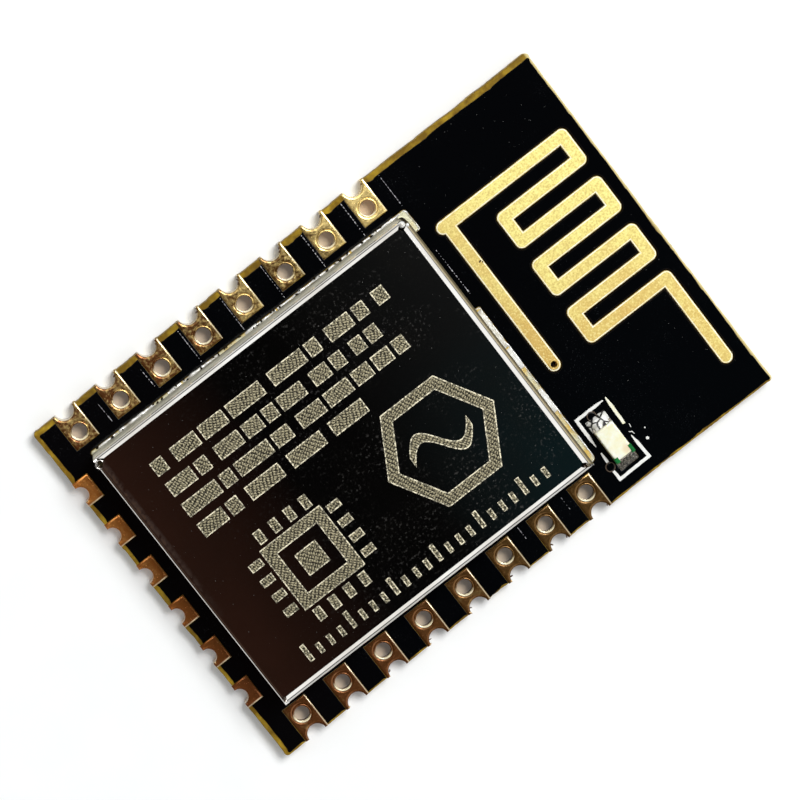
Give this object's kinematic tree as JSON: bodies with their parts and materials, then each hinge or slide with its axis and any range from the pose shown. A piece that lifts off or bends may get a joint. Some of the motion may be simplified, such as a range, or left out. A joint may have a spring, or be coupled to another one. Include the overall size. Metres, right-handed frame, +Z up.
{
  "type": "wireless microcontroller module",
  "caption": "Small wireless microcontroller board with half-hole solder pads, a printed meander antenna, an indicator light and a folded metal shield over the chips.",
  "frame": {"origin": "middle of the board's underside, on the plane of the bottom lands", "axes": "+X along the board towards the antenna, +Y towards the left row of pads, +Z up through the shield can"},
  "size_m": [0.024, 0.016, 0.003],
  "materials": {
    "laminate": "satin",
    "solder_mask": "gloss",
    "gilt_pad": "satin",
    "gilt_trace": "satin",
    "bright_sheet": "polished",
    "solder": "polished",
    "led_base": "satin",
    "led_lens": "gloss",
    "tinned_metal": "satin",
    "led_mark": "gloss",
    "white_print": "matte",
    "chip_case": "matte",
    "crystal_ceramic": "matte",
    "capacitor_ceramic": "matte",
    "resistor_glaze": "gloss",
    "inductor_ceramic": "matte"
  },
  "bodies": {
    "root": {"substrate": "laminate", "solder_mask_top": "solder_mask", "solder_mask_bottom": "solder_mask", "left_pad_1": "gilt_pad", "left_pad_2": "gilt_pad", "left_pad_3": "gilt_pad", "left_pad_4": "gilt_pad", "left_pad_5": "gilt_pad", "left_pad_6": "gilt_pad", "left_pad_7": "gilt_pad", "left_pad_8": "gilt_pad", "right_pad_1": "gilt_pad", "right_pad_2": "gilt_pad", "right_pad_3": "gilt_pad", "right_pad_4": "gilt_pad", "right_pad_5": "gilt_pad", "right_pad_6": "gilt_pad", "right_pad_7": "gilt_pad", "right_pad_8": "gilt_pad", "end_pad_1": "gilt_pad", "end_pad_2": "gilt_pad", "end_pad_3": "gilt_pad", "end_pad_4": "gilt_pad", "end_pad_5": "gilt_pad", "end_pad_6": "gilt_pad", "antenna_trace": "gilt_trace", "board_vias": "gilt_pad", "ground_track": "gilt_trace", "shield_can": "bright_sheet", "shield_solder": "solder", "led_base": "led_base", "led_lens": "led_lens", "led_ends": "tinned_metal", "led_marks": "led_mark", "led_lands": "gilt_trace", "led_solder": "solder", "printed_frame": "white_print", "mcu_body": "chip_case", "mcu_terminals": "tinned_metal", "flash_body": "chip_case", "flash_leads": "tinned_metal", "crystal_base": "crystal_ceramic", "crystal_lid": "tinned_metal", "capacitor_bodies": "capacitor_ceramic", "capacitor_ends": "tinned_metal", "resistor_bodies": "resistor_glaze", "resistor_ends": "tinned_metal", "inductor_bodies": "inductor_ceramic", "inductor_ends": "tinned_metal", "component_lands": "gilt_trace"}
  },
  "joints": []
}
